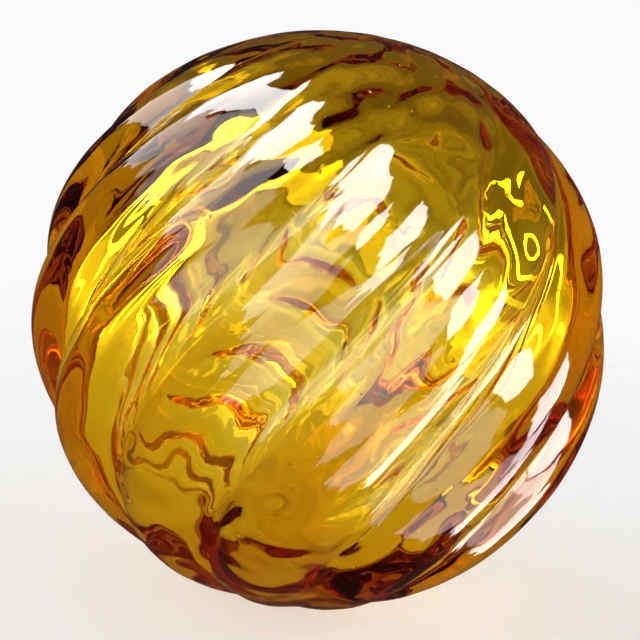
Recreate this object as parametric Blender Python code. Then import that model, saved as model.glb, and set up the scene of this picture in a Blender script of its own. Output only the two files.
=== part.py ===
"""Blown glass sphere: a sealed ball of amber glass, blown in an optic mould and then twisted,
so that rounded ribs swirl round it. It is a solid stand-in of the real size and outline.

Metres, +Z up along the axis of the swirl. The ball stands on a small flat that is ground at
its lower pole, with the origin at the flat's centre. The photograph's viewer is at -Y.
"""

import math

import bmesh
import bpy
from mathutils import Vector

# Driving dimensions of the ball, in metres
DIAMETER = 0.150  # across the crowns of the ribs, at the equator
POLE_TO_POLE = 0.150  # along the axis, before the flat is ground
FLAT_DIAMETER = 0.040  # of the ground flat, measured to the crowns of the ribs

# The ribs, in metres and degrees
RIB_COUNT = 12
RIB_DEPTH = 0.0090  # from crown to groove at the equator
GROOVE_WIDTH = 0.0082  # of the rounded bottom of a groove at the equator
RIB_TAPER = 2.5  # how soon the ribs get shallower towards the poles: a power of the cosine
CAP_START = 5.0  # latitude above which the ribs start to melt into the smooth upper cap
SPACING_DRIFT = 6.7  # how far the hand-turned ribs stray from even spacing, once round the ball

# The swirl: how far a rib has turned round the axis at a latitude, both as angles
SWIRL_AT_EQUATOR = 0.81  # turning of the rib for each step of latitude
SWIRL_RISE = 0.17  # more swirl in the upper half than in the lower
SWIRL_EASE = -0.08  # less swirl near both poles
FIRST_GROOVE = 159.0  # degrees round the axis from +X, at the equator

# The facets
FACETS_PER_RIB = 8
RINGS = 50

AMBER = (0.86, 0.55, 0.06, 1.0)
GLASS_ROUGHNESS = 0.04
GLASS_IOR = 1.5

EQUATOR_RADIUS = DIAMETER / 2
POLAR_RADIUS = POLE_TO_POLE / 2
# The flat's height below the ball's centre, on the ellipse through the crowns
FLAT_DROP = POLAR_RADIUS * math.sqrt(1 - (FLAT_DIAMETER / DIAMETER) ** 2)


def clear_scene():
    for old in list(bpy.data.objects):
        bpy.data.objects.remove(old, do_unlink=True)


def make_collection(name):
    collection = bpy.data.collections.new(name)
    bpy.context.scene.collection.children.link(collection)
    return collection


def amber_glass():
    material = bpy.data.materials.new("amber_glass")
    material.use_nodes = True
    shader = material.node_tree.nodes["Principled BSDF"]
    shader.inputs["Base Color"].default_value = AMBER
    shader.inputs["Roughness"].default_value = GLASS_ROUGHNESS
    shader.inputs["Metallic"].default_value = 0.0
    shader.inputs["IOR"].default_value = GLASS_IOR
    shader.inputs["Transmission Weight"].default_value = 1.0
    material.diffuse_color = AMBER
    return material


def ease(value, low, high):
    """0 below low, 1 above high, and a smooth S between them."""
    share = min(max((value - low) / (high - low), 0.0), 1.0)
    return share * share * (3 - 2 * share)


def swirl(latitude):
    """How far a groove has turned round the axis where it reaches a latitude."""
    return latitude * (SWIRL_AT_EQUATOR + SWIRL_RISE * latitude + SWIRL_EASE * latitude**2)


def across_rib(longitude):
    """0 on a rib's crown, and -1 and 1 in the grooves on either side of it. The arc sine of a
    sine is a zigzag, and a little less than the whole sine rounds its corners."""
    roundness = math.cos(math.atan(RIB_COUNT * GROOVE_WIDTH / (2 * DIAMETER)))
    phase = RIB_COUNT / 2 * longitude + math.pi / 2
    return math.asin(roundness * math.sin(phase)) / math.asin(roundness)


def rib_depth(latitude):
    """Deepest at the equator, and nothing at either pole."""
    cap = ease(math.degrees(latitude), CAP_START, 90.0)
    return RIB_DEPTH * math.cos(latitude) ** RIB_TAPER * (1 - cap)


def surface_point(latitude, longitude):
    """The point of the ribbed ball that an untwisted latitude and longitude give."""
    sunk = rib_depth(latitude) * across_rib(longitude) ** 2
    drift = -math.radians(SPACING_DRIFT) * math.sin(longitude)
    turned = longitude + drift + swirl(latitude) + math.radians(FIRST_GROOVE)
    level = (EQUATOR_RADIUS - sunk) * math.cos(latitude)
    height = (POLAR_RADIUS - sunk) * math.sin(latitude)
    return Vector((level * math.cos(turned), level * math.sin(turned), height))


def ribbed_ball(mesh_name):
    """A UV sphere whose meridians follow the swirl, so that every groove is a line of edges."""
    ball = bmesh.new()
    bmesh.ops.create_uvsphere(
        ball, u_segments=RIB_COUNT * FACETS_PER_RIB, v_segments=RINGS, radius=1.0
    )
    for vertex in ball.verts:
        latitude = math.asin(min(max(vertex.co.z, -1.0), 1.0))
        longitude = math.atan2(vertex.co.y, vertex.co.x)
        vertex.co = surface_point(latitude, longitude)
    grind_flat(ball)
    bmesh.ops.recalc_face_normals(ball, faces=ball.faces)
    mesh = bpy.data.meshes.new(mesh_name)
    ball.to_mesh(mesh)
    ball.free()
    return mesh


def grind_flat(ball):
    """Cuts the lower pole off level, closes the cut, and sets the ball down on it."""
    bmesh.ops.bisect_plane(
        ball,
        geom=ball.verts[:] + ball.edges[:] + ball.faces[:],
        dist=1e-6,
        plane_co=(0, 0, -FLAT_DROP),
        plane_no=(0, 0, -1),
        clear_outer=True,
    )
    rim = [edge for edge in ball.edges if edge.is_boundary]
    for edge in rim:
        edge.smooth = False
    bmesh.ops.contextual_create(ball, geom=rim)
    bmesh.ops.translate(ball, verts=ball.verts, vec=(0, 0, FLAT_DROP))


def main():
    clear_scene()
    parts = make_collection("blown_glass_sphere")
    sphere = bpy.data.objects.new("glass_sphere", ribbed_ball("glass_sphere"))
    sphere.data.materials.append(amber_glass())
    sphere.data.shade_smooth()
    parts.objects.link(sphere)


main()
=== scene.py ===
"""Blown glass sphere: a sealed amber ball whose rounded ribs swirl round it. Here it is hollow,
with an uneven inner wall, seed bubbles sealed in the glass and a ground base."""

import functools
import math

import bmesh
import bpy
from mathutils import Matrix, Vector


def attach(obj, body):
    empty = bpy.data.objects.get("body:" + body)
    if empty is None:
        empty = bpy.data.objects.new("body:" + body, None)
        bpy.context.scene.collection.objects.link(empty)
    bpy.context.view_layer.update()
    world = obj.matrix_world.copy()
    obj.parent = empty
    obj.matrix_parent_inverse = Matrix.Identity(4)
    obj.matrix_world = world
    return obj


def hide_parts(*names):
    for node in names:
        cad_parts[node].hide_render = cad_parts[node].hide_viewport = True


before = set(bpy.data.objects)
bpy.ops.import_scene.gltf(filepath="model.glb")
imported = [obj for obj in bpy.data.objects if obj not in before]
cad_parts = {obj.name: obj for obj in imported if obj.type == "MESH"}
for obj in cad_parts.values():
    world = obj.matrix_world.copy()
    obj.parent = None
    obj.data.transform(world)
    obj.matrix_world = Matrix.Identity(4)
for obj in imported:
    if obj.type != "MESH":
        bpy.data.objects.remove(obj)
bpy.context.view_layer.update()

# The ball, in metres and degrees, as in the solid model, but for a diameter that leaves the
# wall's unevenness room within it
DIAMETER = 0.1496
POLE_TO_POLE = 0.1500
FLAT_DIAMETER = 0.040
RIB_COUNT = 12
RIB_DEPTH = 0.0090
GROOVE_WIDTH = 0.0082
RIB_TAPER = 2.5
CAP_START = 5.0
SPACING_DRIFT = 6.7
SWIRL_AT_EQUATOR = 0.81
SWIRL_RISE = 0.17
SWIRL_EASE = -0.08
FIRST_GROOVE = 159.0

# The wall, in metres
CROWN_WALL = 0.0110  # thickness at the crowns of the ribs
INNER_FOLLOW = 0.3  # share of the ribs' depth that the inner wall follows
BASE_THICKENING = 0.002
BASE_THICK_BELOW = -35  # latitude under which the inner wall rises over the base, in degrees
RIM_SOFTENING = 0.0006
OUTER_GRID = (288, 160)  # segments round the ball and rings
INNER_GRID = (216, 120)

# The unevenness of hand work: how far it goes, in metres, and its two noises over a ball of
# radius 1
INNER_WAVE = 0.0011
OUTER_WAVE = 0.00025
SLOW_WAVES, SLOW_SHARE = 2.6, 1.4
FINE_WAVES, FINE_SHARE = 9.0, 1.8
WAVE_STRETCH = 0.35  # less than 1 draws the waves out along the axis

# The seed bubbles, in metres
BUBBLES_PER_AREA = 3500.0
BUBBLE_DEPTH = (0.0007, 0.0018)
BUBBLE_RADIUS = (0.00016, 0.00055)
BUBBLE_RARITY = 3.0  # a power: the higher it is, the fewer large ones there are
BUBBLE_SEED = 7

# The glass. Its absorption leaves red and yellow, so that it is gold where it is thin and
# brown where the light's way through it is long
GLASS_IOR = 1.52
ABSORPTION_COLOUR = (0.943, 0.846, 0.0, 1.0)
ABSORPTION_DENSITY = 235.0
TINT_STOPS = [(0.35, (1.0, 1.0, 0.97, 1)), (0.7, (0.99, 0.98, 0.93, 1))]
SMUDGE_ROUGHNESS = 0.03
GROUND_ROUGHNESS = 0.35
GROUND_HEIGHT = (0.00005, 0.0004)  # the frosting of the base ends between these heights
SMUDGE_SCALE = 45.0
STREAK_SCALE = 22.0
RIPPLE_SCALE = 140.0
GRIT_SCALE = 2500.0
RIPPLE_SHARE = 0.3  # of the relief of the grit on the base
RELIEF_HEIGHT = 0.0002
RELIEF_STRENGTH = 0.2

# The camera that took the photograph: degrees, metres and pixels
CAMERA_ROLL = 5.31
CAMERA_PITCH = 8.08
CAMERA_DISTANCE = 0.28425
FOCAL_PIXELS = 1061.3
PICTURE = 640
PICTURE_CENTRE = (320.58, 320.28)
SENSOR_WIDTH = 36  # millimetres

# The soft windows that the glass mirrors: azimuth, elevation, tilt, width, height and level
WINDOWS = (
    (-114, 62, 0, 22, 28, 13),
    (-55, 70, 0, 34, 18, 15),
    (18, 44, -25, 16, 26, 15),
    (68, 4, -30, 24, 34, 15),
    (78, -22, -20, 20, 16, 10),
    (97, -40, -10, 18, 28, 9),
    (-92, 44, 0, 56, 28, 4.5),
    (-30, 36, 0, 50, 44, 3.6),
    (-10, 4, 0, 60, 46, 2.6),
    (45, -38, 0, 80, 40, 3.0),
)
WINDOW_EDGE = 0.07  # half the width of the soft edge, as a share of half the window
WAVER = 0.3  # how far the windows' outlines waver
CLOUD_SCALE = 4.0

# How bright the studio is besides the windows
ROOM_LEVEL = 0.03  # as the glass mirrors it
PALE_LEVEL = 0.95  # behind the ball, as the camera sees it
THROUGH_LEVEL = 0.95  # as it is seen through the glass
DIMMER_ABOVE = 0.7
SIDE_BOOST = 0.8

# Where that changes, by how far a direction of length 1 goes up or sideways
HORIZON = (-0.06, 0.0)
SKY = (0.0, 0.6)
SIDES = (0.55, 0.8)
SIDES_BOTTOM = (-0.75, -0.55)
SIDES_TOP = (0.0, 0.15)

# Narrow upright lights at both sides, seen only through the glass: degrees and metres
STRIP_AZIMUTHS = (84, 103, 124)
STRIP_ELEVATION = 14
STRIP_DISTANCE = 1.0
STRIP_WIDTH, STRIP_HEIGHT = 0.07, 0.7
STRIP_RADIANCE = 11

# The floor, in metres
FLOOR_RADIUS = 0.7
FLOOR_FADE = (0.25, 0.65)
FLOOR_GAP = 0.0002  # keeps it out of the plane of the ball's ground flat
FLOOR_GREY = 0.5
FLOOR_ROUGHNESS = 0.6
FLOOR_GLOW = 0.36
FLOOR_GLOW_SEEN = 0.16  # more of it for the camera

# Light is thrown back and forth many times inside the thick ribs before it leaves them
MANY_BOUNCES = 32

# The flat's height below the ball's centre, on the ellipse through the crowns
FLAT_DROP = POLE_TO_POLE / 2 * math.sqrt(1 - (FLAT_DIAMETER / DIAMETER) ** 2)
CENTRE = Vector((0, 0, FLAT_DROP))


class Wire:
    """A socket of a node tree, on which Python's own signs add Math nodes."""

    def __init__(self, tree, socket=None):
        self.tree = tree
        self.socket = socket

    def node(self, kind, settings=None, values=None, out=0):
        """Adds any node: its settings first, then its sockets' values or links."""
        made = self.tree.nodes.new(kind)
        for name, value in (settings or {}).items():
            if name == "stops":
                stops = made.color_ramp.elements
                for stop, (place, colour) in zip(stops, value):
                    stop.position = place
                    stop.color = colour
            else:
                setattr(made, name, value)
        for name, value in (values or {}).items():
            if isinstance(value, Wire):
                self.tree.links.new(value.socket, made.inputs[name])
            else:
                made.inputs[name].default_value = value
        return Wire(self.tree, made.outputs[out] if made.outputs else None)

    def outputs(self):
        """Every output of this wire's node that is in use, as wires."""
        return [Wire(self.tree, socket) for socket in self.socket.node.outputs if socket.enabled]

    def into(self, target):
        self.tree.links.new(self.socket, target)

    def maths(self, operation, *values):
        return self.node("ShaderNodeMath", {"operation": operation}, dict(enumerate(values)))

    def vector_maths(self, operation, *values, out=0):
        settings = {"operation": operation}
        return self.node("ShaderNodeVectorMath", settings, dict(enumerate(values)), out)

    def __add__(self, other):
        return self.maths("ADD", self, other)

    def __sub__(self, other):
        return self.maths("SUBTRACT", self, other)

    def __mul__(self, other):
        return self.maths("MULTIPLY", self, other)

    def __truediv__(self, other):
        return self.maths("DIVIDE", self, other)

    def __pow__(self, other):
        return self.maths("POWER", self, other)

    def __radd__(self, other):
        return self.maths("ADD", other, self)

    def __rsub__(self, other):
        return self.maths("SUBTRACT", other, self)

    def __rmul__(self, other):
        return self.maths("MULTIPLY", other, self)

    def dot(self, direction):
        return self.vector_maths("DOT_PRODUCT", self, direction, out="Value")

    def ease(self, low, high):
        """0 below low, 1 above high, and a smooth S between them."""
        return self.node(
            "ShaderNodeMapRange",
            {"interpolation_type": "SMOOTHSTEP"},
            {"Value": self, "From Min": low, "From Max": high},
        )

    def noise(self, scale, detail, out=0, **more):
        """Noise over this wire's vector."""
        values = {"Vector": self, "Scale": scale, "Detail": detail, **more}
        return self.node("ShaderNodeTexNoise", values=values, out=out)


def geometry_tree(name, inputs):
    """A Geometry Nodes tree with named inputs, as (tree, {input name: wire})."""
    tree = bpy.data.node_groups.new(name, "GeometryNodeTree")
    tree.interface.new_socket("Geometry", in_out="INPUT", socket_type="NodeSocketGeometry")
    for label, kind in inputs.items():
        tree.interface.new_socket(label, in_out="INPUT", socket_type=kind)
    tree.interface.new_socket("Geometry", in_out="OUTPUT", socket_type="NodeSocketGeometry")
    source = tree.nodes.new("NodeGroupInput")
    return tree, {socket.name: Wire(tree, socket) for socket in source.outputs if socket.name}


def end_tree(geometry, material):
    """Makes instances real, sets the material and leads the geometry out of the tree."""
    real = geometry.node("GeometryNodeRealizeInstances", values={"Geometry": geometry})
    dressed = real.node(
        "GeometryNodeSetMaterial", values={"Geometry": real, "Material": material}
    )
    dressed.node("NodeGroupOutput", values={"Geometry": dressed})


def grown(name, tree, values, start=None):
    """The plain mesh that a tree makes from these input values."""
    base = bpy.data.objects.new(name + "_start", start or bpy.data.meshes.new(name + "_start"))
    bpy.context.scene.collection.objects.link(base)
    modifier = base.modifiers.new(name, "NODES")
    modifier.node_group = tree
    identifiers = {
        item.name: item.identifier for item in tree.interface.items_tree if item.in_out == "INPUT"
    }
    for label, value in values.items():
        modifier[identifiers[label]] = value
    graph = bpy.context.evaluated_depsgraph_get()
    mesh = bpy.data.meshes.new_from_object(base.evaluated_get(graph), depsgraph=graph)
    base.modifiers.remove(modifier)
    bpy.data.objects.remove(base)
    mesh.name = name
    return mesh


# The ribbed wall
WALL_INPUTS = {
    "Equator Radius": "NodeSocketFloat",
    "Polar Radius": "NodeSocketFloat",
    "Rib Depth": "NodeSocketFloat",
    "Wave": "NodeSocketFloat",
    "Base Thickening": "NodeSocketFloat",
    "Segments": "NodeSocketInt",
    "Rings": "NodeSocketInt",
    "Into The Cavity": "NodeSocketBool",
    "Glass": "NodeSocketMaterial",
}


def across_ribs(wire, longitude):
    """0 on a rib's crown, and -1 and 1 in the grooves on either side of it. The arc sine of a
    sine is a zigzag, and a little less than the whole sine rounds its corners."""
    roundness = math.cos(math.atan(RIB_COUNT * GROOVE_WIDTH / (2 * DIAMETER)))
    phase = wire.maths("SINE", longitude * (RIB_COUNT / 2) + math.pi / 2)
    return wire.maths("ARCSINE", phase * roundness) / math.asin(roundness)


def unevenness(wire, x, y, z):
    """The waves of hand work, about 0, over a ball of radius 1."""
    along = wire.node("ShaderNodeCombineXYZ", values={"X": x, "Y": y, "Z": z * WAVE_STRETCH})
    slow = along.noise(SLOW_WAVES, 1.0, Roughness=0.4)
    fine = along.noise(FINE_WAVES, 1.0, Roughness=0.4)
    middle = (SLOW_SHARE + FINE_SHARE) / 2
    return slow * SLOW_SHARE + fine * FINE_SHARE - middle


def wall_tree():
    """A globe whose meridians follow the swirl, sunk along its grooves."""
    tree, given = geometry_tree("ribbed_wall", WALL_INPUTS)
    wire = Wire(tree)
    globe = wire.node(
        "GeometryNodeMeshUVSphere",
        values={"Segments": given["Segments"], "Rings": given["Rings"], "Radius": 1.0},
    )
    place = wire.node("GeometryNodeInputPosition")
    x, y, z = wire.node("ShaderNodeSeparateXYZ", values={"Vector": place}).outputs()
    latitude = wire.maths("ARCSINE", z)
    longitude = wire.maths("ARCTAN2", y, x)

    across = across_ribs(wire, longitude)
    fade = 1 - latitude.ease(math.radians(CAP_START), math.pi / 2)
    taper = wire.maths("MAXIMUM", wire.maths("COSINE", latitude), 0.0) ** RIB_TAPER
    ribs = given["Rib Depth"] * taper * fade * across * across
    wave = given["Wave"] * unevenness(wire, x, y, z)
    low = 1 - latitude.ease(-math.pi / 2, math.radians(BASE_THICK_BELOW))
    sunk = ribs + wave + given["Base Thickening"] * low

    swirl = latitude * (latitude * (latitude * SWIRL_EASE + SWIRL_RISE) + SWIRL_AT_EQUATOR)
    drift = wire.maths("SINE", longitude) * -math.radians(SPACING_DRIFT)
    turned = longitude + drift + swirl + math.radians(FIRST_GROOVE)
    level = (given["Equator Radius"] - sunk) * wire.maths("COSINE", latitude)
    height = (given["Polar Radius"] - sunk) * z + FLAT_DROP
    point = wire.node(
        "ShaderNodeCombineXYZ",
        values={
            "X": level * wire.maths("COSINE", turned),
            "Y": level * wire.maths("SINE", turned),
            "Z": height,
        },
    )
    moved = wire.node("GeometryNodeSetPosition", values={"Geometry": globe, "Position": point})
    outward = wire.node(
        "GeometryNodeFlipFaces", values={"Mesh": moved, "Selection": given["Into The Cavity"]}
    )
    smooth = wire.node("GeometryNodeSetShadeSmooth", values={"Geometry": outward})
    end_tree(smooth, given["Glass"])
    return tree


# Seed bubbles
BUBBLE_INPUTS = {
    "Count Per Area": "NodeSocketFloat",
    "Shallowest": "NodeSocketFloat",
    "Deepest": "NodeSocketFloat",
    "Smallest": "NodeSocketFloat",
    "Largest": "NodeSocketFloat",
    "Seed": "NodeSocketInt",
    "Glass": "NodeSocketMaterial",
}


def bubble_tree():
    """Small gas bubbles strewn at random just under the outer skin."""
    tree, given = geometry_tree("seed_bubbles", BUBBLE_INPUTS)
    wire = Wire(tree)
    strewn = wire.node(
        "GeometryNodeDistributePointsOnFaces",
        {"distribute_method": "RANDOM"},
        {"Mesh": given["Geometry"], "Density": given["Count Per Area"], "Seed": given["Seed"]},
    )
    points, normal, turn = strewn.outputs()
    depth = wire.node(
        "FunctionNodeRandomValue",
        {"data_type": "FLOAT"},
        {"Min": given["Shallowest"], "Max": given["Deepest"], "Seed": 1},
        out=1,
    )
    inward = wire.node(
        "ShaderNodeVectorMath",
        {"operation": "SCALE"},
        {"Vector": normal, "Scale": depth * -1.0},
    )
    sunk = wire.node("GeometryNodeSetPosition", values={"Geometry": points, "Offset": inward})
    bead = wire.node(
        "GeometryNodeMeshUVSphere", values={"Segments": 8, "Rings": 5, "Radius": 1.0}
    )
    bead = wire.node("GeometryNodeSetShadeSmooth", values={"Geometry": bead})
    bead = wire.node("GeometryNodeFlipFaces", values={"Mesh": bead})
    chance = wire.node("FunctionNodeRandomValue", {"data_type": "FLOAT"}, {"Seed": 2}, out=1)
    size = given["Smallest"] + (given["Largest"] - given["Smallest"]) * chance**BUBBLE_RARITY
    beads = wire.node(
        "GeometryNodeInstanceOnPoints",
        values={"Points": sunk, "Instance": bead, "Rotation": turn, "Scale": size},
    )
    end_tree(beads, given["Glass"])
    return tree


def amber_glass():
    """Clear glass, faintly smudged and rippled, with a frosted base."""
    material = bpy.data.materials.new("amber_glass_blown")
    material.use_nodes = True
    tree = material.node_tree
    wire = Wire(tree)
    shader = tree.nodes["Principled BSDF"]
    shader.inputs["Transmission Weight"].default_value = 1.0
    shader.inputs["IOR"].default_value = GLASS_IOR
    shader.inputs["Metallic"].default_value = 0.0
    coords = wire.node("ShaderNodeTexCoord", out="Object")
    height = wire.node("ShaderNodeSeparateXYZ", values={"Vector": coords}, out="Z")
    ground = 1 - height.ease(*GROUND_HEIGHT)

    smudges = coords.noise(SMUDGE_SCALE, 4.0).ease(0.55, 0.8)
    roughness = smudges * SMUDGE_ROUGHNESS + ground * GROUND_ROUGHNESS
    roughness.into(shader.inputs["Roughness"])

    streaks = coords.noise(STREAK_SCALE, 3.0)
    tint = wire.node("ShaderNodeValToRGB", {"stops": TINT_STOPS}, {"Fac": streaks})
    tint.into(shader.inputs["Base Color"])

    ripples = coords.noise(RIPPLE_SCALE, 2.0)
    grit = coords.noise(GRIT_SCALE, 2.0)
    relief = ripples * RIPPLE_SHARE + grit * ground
    bump = wire.node(
        "ShaderNodeBump",
        values={"Height": relief, "Strength": RELIEF_STRENGTH, "Distance": RELIEF_HEIGHT},
    )
    bump.into(shader.inputs["Normal"])

    absorption = wire.node(
        "ShaderNodeVolumeAbsorption",
        values={"Color": ABSORPTION_COLOUR, "Density": ABSORPTION_DENSITY},
    )
    absorption.into(tree.nodes["Material Output"].inputs["Volume"])
    return material


def grind_base(mesh):
    """Cuts the lower pole off level, closes the cut and softens its rim."""
    ball = bmesh.new()
    ball.from_mesh(mesh)
    bmesh.ops.bisect_plane(
        ball,
        geom=ball.verts[:] + ball.edges[:] + ball.faces[:],
        dist=1e-6,
        plane_co=(0, 0, 0),
        plane_no=(0, 0, -1),
        clear_outer=True,
    )
    rim = [edge for edge in ball.edges if edge.is_boundary]
    bmesh.ops.contextual_create(ball, geom=rim)
    bmesh.ops.bevel(
        ball, geom=rim, offset=RIM_SOFTENING, segments=2, affect="EDGES", clamp_overlap=True
    )
    ball.to_mesh(mesh)
    ball.free()


def joined(name, meshes, material):
    """One mesh of several, with one material."""
    whole = bmesh.new()
    for mesh in meshes:
        whole.from_mesh(mesh)
    for face in whole.faces:
        face.material_index = 0
        face.smooth = True
    mesh = bpy.data.meshes.new(name)
    whole.to_mesh(mesh)
    whole.free()
    mesh.materials.append(material)
    return mesh


def ribbed_wall(name, tree, glass, grid, sunk=0.0, follow=1.0, wave=0.0, thickening=0.0):
    """The outer wall, or one sunk this deep below it that follows a share of its ribs."""
    segments, rings = grid
    return grown(
        name,
        tree,
        {
            "Equator Radius": DIAMETER / 2 - sunk,
            "Polar Radius": POLE_TO_POLE / 2 - sunk,
            "Rib Depth": RIB_DEPTH * follow,
            "Wave": wave,
            "Base Thickening": thickening,
            "Segments": segments,
            "Rings": rings,
            "Into The Cavity": sunk > 0,
            "Glass": glass,
        },
    )


def seed_bubbles(skin, glass):
    return grown(
        "seed_bubbles",
        bubble_tree(),
        {
            "Count Per Area": BUBBLES_PER_AREA,
            "Shallowest": BUBBLE_DEPTH[0],
            "Deepest": BUBBLE_DEPTH[1],
            "Smallest": BUBBLE_RADIUS[0],
            "Largest": BUBBLE_RADIUS[1],
            "Seed": BUBBLE_SEED,
            "Glass": glass,
        },
        start=skin.copy(),
    )


def blown_glass():
    """The outer wall, the inner wall and the bubbles as three closed skins of one mesh."""
    glass = amber_glass()
    tree = wall_tree()
    outer = ribbed_wall("outer_wall", tree, glass, OUTER_GRID, wave=OUTER_WAVE)
    grind_base(outer)
    inner = ribbed_wall(
        "inner_wall", tree, glass, INNER_GRID, CROWN_WALL, INNER_FOLLOW, INNER_WAVE, BASE_THICKENING
    )
    seeds = seed_bubbles(outer, glass)
    ball = bpy.data.objects.new("blown_glass", joined("blown_glass", [outer, inner, seeds], glass))
    bpy.context.scene.collection.objects.link(ball)
    return ball


def facing(azimuth, elevation):
    """A direction from the ball. Azimuth 0 is towards the viewer and 90 to the viewer's right."""
    turn, rise = math.radians(azimuth), math.radians(elevation)
    return Vector(
        (math.cos(rise) * math.sin(turn), -math.cos(rise) * math.cos(turn), math.sin(rise))
    )


def photo_camera():
    """Looks at the ball's centre, with the ball's axis leaning to the right and to the viewer."""
    roll, pitch = math.radians(CAMERA_ROLL), math.radians(CAMERA_PITCH)
    up = Vector(
        (
            math.sin(roll) * math.cos(pitch),
            math.cos(roll) * math.cos(pitch),
            math.sin(pitch),
        )
    )
    toward = Vector((0, 0, 1))
    front = (toward - up * toward.dot(up)).normalized()
    right = up.cross(front)
    turn = Matrix((right, -front, up))
    camera = bpy.data.objects.new("photo_camera", bpy.data.cameras.new("photo_camera"))
    bpy.context.scene.collection.objects.link(camera)
    place = turn.to_4x4()
    place.translation = CENTRE + turn @ Vector((0, 0, CAMERA_DISTANCE))
    camera.matrix_world = place
    camera.data.sensor_width = SENSOR_WIDTH
    camera.data.lens = FOCAL_PIXELS * SENSOR_WIDTH / PICTURE
    camera.data.shift_x = -(PICTURE_CENTRE[0] - PICTURE / 2) / PICTURE
    camera.data.shift_y = (PICTURE_CENTRE[1] - PICTURE / 2) / PICTURE
    camera.data.clip_start = 0.01
    bpy.context.scene.camera = camera


def side_strip(name, azimuth):
    away = facing(azimuth, STRIP_ELEVATION)
    data = bpy.data.lights.new(name, "AREA")
    data.shape = "RECTANGLE"
    data.size = STRIP_WIDTH
    data.size_y = STRIP_HEIGHT
    data.energy = STRIP_RADIANCE * STRIP_WIDTH * STRIP_HEIGHT * math.pi
    light = bpy.data.objects.new(name, data)
    light.location = CENTRE + away * STRIP_DISTANCE
    light.rotation_euler = away.to_track_quat("Z", "Y").to_euler()
    light.visible_camera = False
    light.visible_glossy = False
    bpy.context.scene.collection.objects.link(light)


def side_strips():
    for side in (-1, 1):
        for place, azimuth in enumerate(STRIP_AZIMUTHS):
            side_strip(f"side_strip_{place}_{'left' if side < 0 else 'right'}", side * azimuth)


def window(way, azimuth, elevation, tilt, width, height, level):
    """How bright a soft-edged rectangular window is each way, with its sizes in degrees."""
    centre = facing(azimuth, elevation)
    side = Matrix.Rotation(-math.radians(tilt), 3, centre) @ facing(azimuth + 90, 0)
    ahead = way.dot(centre)
    lit = ahead.ease(0.0, 0.1) * level
    for axis, span in ((side, width), (side.cross(centre), height)):
        edge = math.tan(math.radians(span / 2))
        off = way.maths("ABSOLUTE", way.dot(axis)) / way.maths("MAXIMUM", ahead, 0.01)
        lit = lit * (1 - off.ease((1 - WINDOW_EDGE) * edge, (1 + WINDOW_EDGE) * edge))
    return lit


def seen_through(wire, x, z):
    """The studio as it is seen through the glass: dimmer above, brighter low at both sides."""
    above = z.ease(*HORIZON) * 0.5 + z.ease(*SKY) * 0.5
    sideways = wire.maths("ABSOLUTE", x).ease(*SIDES)
    low = z.ease(*SIDES_BOTTOM) * (1 - z.ease(*SIDES_TOP))
    return THROUGH_LEVEL - above * DIMMER_ABOVE + sideways * low * SIDE_BOOST


def pale_world():
    """A pale studio. Mirror rays see its windows in a dim room, and rays through the glass see
    the windows too, before a paler room."""
    world = bpy.data.worlds.new("studio")
    bpy.context.scene.world = world
    world.use_nodes = True
    tree = world.node_tree
    wire = Wire(tree)
    way = wire.node("ShaderNodeTexCoord", out="Generated")
    cloud = way.noise(CLOUD_SCALE, 4.0, out="Color")
    bent = wire.vector_maths("MULTIPLY_ADD", cloud, (WAVER, WAVER, WAVER), way)
    bent = wire.vector_maths("SUBTRACT", bent, (WAVER / 2, WAVER / 2, WAVER / 2))
    x, y, z = wire.node("ShaderNodeSeparateXYZ", values={"Vector": bent}).outputs()

    panes = [window(bent, *place) for place in WINDOWS]
    windows = functools.reduce(lambda one, two: wire.maths("MAXIMUM", one, two), panes)
    through = seen_through(wire, x, z)
    ray = {
        kind: wire.node("ShaderNodeLightPath", out=f"Is {kind} Ray")
        for kind in ("Camera", "Glossy", "Transmission")
    }
    # A refracted ray counts as a glossy one too
    mirror = ray["Glossy"] * (1 - ray["Transmission"])
    room = through + (ROOM_LEVEL - through) * mirror + (PALE_LEVEL - through) * ray["Camera"]
    level = wire.maths("MAXIMUM", room, windows * ray["Glossy"])
    background = tree.nodes["Background"]
    background.inputs["Color"].default_value = (1, 1, 1, 1)
    level.into(background.inputs["Strength"])


def pale_floor():
    """A round grey floor that glows faintly and fades into the world round it."""
    bpy.ops.mesh.primitive_circle_add(vertices=96, radius=FLOOR_RADIUS, fill_type="NGON")
    floor = bpy.context.object
    floor.name = "floor"
    floor.location.z = -FLOOR_GAP
    material = bpy.data.materials.new("pale_floor")
    material.use_nodes = True
    tree = material.node_tree
    wire = Wire(tree)
    shader = tree.nodes["Principled BSDF"]
    shader.inputs["Base Color"].default_value = (FLOOR_GREY, FLOOR_GREY, FLOOR_GREY, 1)
    shader.inputs["Roughness"].default_value = FLOOR_ROUGHNESS
    shader.inputs["Emission Strength"].default_value = 1.0
    seen = wire.node("ShaderNodeLightPath", out="Is Camera Ray")
    glow = FLOOR_GLOW + FLOOR_GLOW_SEEN * seen
    glow.into(shader.inputs["Emission Color"])
    coords = wire.node("ShaderNodeTexCoord", out="Object")
    reach = wire.vector_maths("LENGTH", coords, out="Value")
    solid = 1 - reach.ease(*FLOOR_FADE)
    solid.into(shader.inputs["Alpha"])
    floor.data.materials.append(material)
    floor.visible_glossy = False


photo_camera()
pale_world()
pale_floor()
side_strips()

scene = bpy.context.scene
scene.view_settings.view_transform = "Standard"
scene.cycles.max_bounces = MANY_BOUNCES
scene.cycles.glossy_bounces = MANY_BOUNCES
scene.cycles.transmission_bounces = MANY_BOUNCES

ball = blown_glass()
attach(ball, "root")
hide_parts("glass_sphere")
